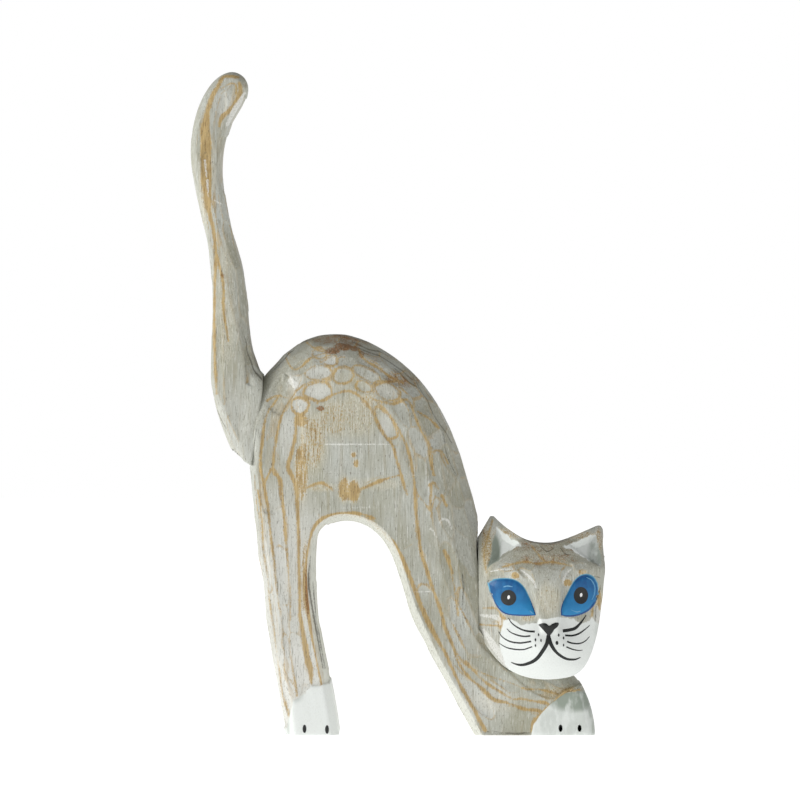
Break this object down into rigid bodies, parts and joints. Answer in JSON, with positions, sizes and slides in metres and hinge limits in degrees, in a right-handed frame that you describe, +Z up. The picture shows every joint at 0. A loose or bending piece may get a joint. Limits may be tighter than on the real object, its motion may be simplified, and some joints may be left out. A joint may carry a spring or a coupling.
{
  "type": "carved wooden cat figure",
  "caption": "Hand-carved, whitewashed wooden cat in a stretching pose: arched plank body, long upright tail, head turned to the viewer.",
  "frame": {"origin": "centre of the bounding box in plan, on the ground under the paws", "axes": "+Z up along the tail; +X from the tail towards the head; +Y to the rear of the figure, away from the face"},
  "size_m": [0.2498, 0.077, 0.4001],
  "materials": {
    "whitewashed_wood": "matte, whitewash rubbed back to golden brown on the knife ridges, white painted paws and muzzle",
    "dowel_wood": "bare, unfinished"
  },
  "bodies": {
    "root": {"body": "whitewashed_wood", "tail": "whitewashed_wood", "head": "whitewashed_wood", "tail_dowel_1": "dowel_wood", "tail_dowel_2": "dowel_wood", "head_dowel_1": "dowel_wood", "head_dowel_2": "dowel_wood"}
  },
  "joints": []
}
